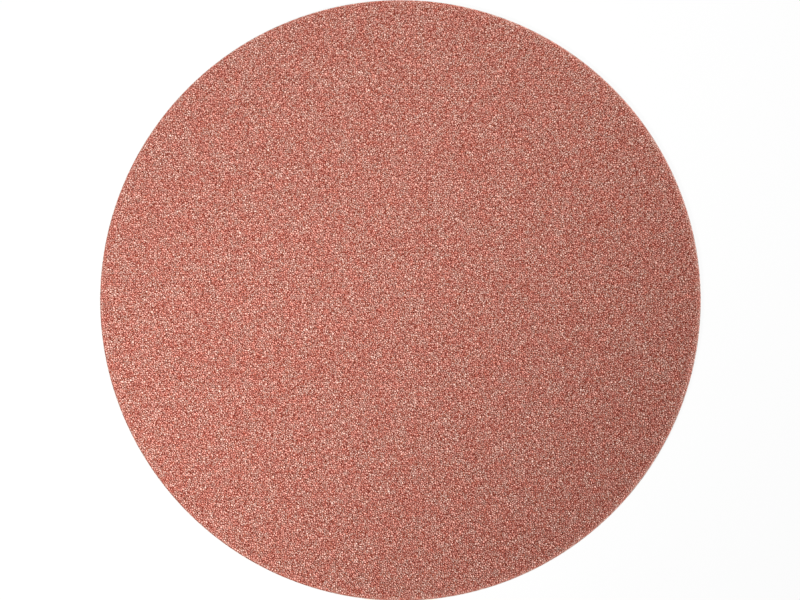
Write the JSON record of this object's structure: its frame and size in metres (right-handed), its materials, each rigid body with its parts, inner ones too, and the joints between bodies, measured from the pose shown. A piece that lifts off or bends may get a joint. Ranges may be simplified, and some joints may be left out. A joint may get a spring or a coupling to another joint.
{
  "type": "sanding disc",
  "caption": "Plain round coated-abrasive disc: red-brown grain bonded to a heavy paper sheet, for sanding and polishing.",
  "frame": {"origin": "centre of the back face, the one that is fastened to the sander's pad", "axes": "+Z is the disc's axis and points out of the grain side; the disc is round, so +X and +Y are any two directions across it"},
  "size_m": [0.125, 0.125, 0.0008],
  "materials": {
    "grain_coat": "gritty, sharp grain in satin red-brown resin",
    "backing_paper": "plain matt heavy paper with short fibres"
  },
  "bodies": {
    "root": {"sanding_disc": "grain_coat"}
  },
  "joints": []
}
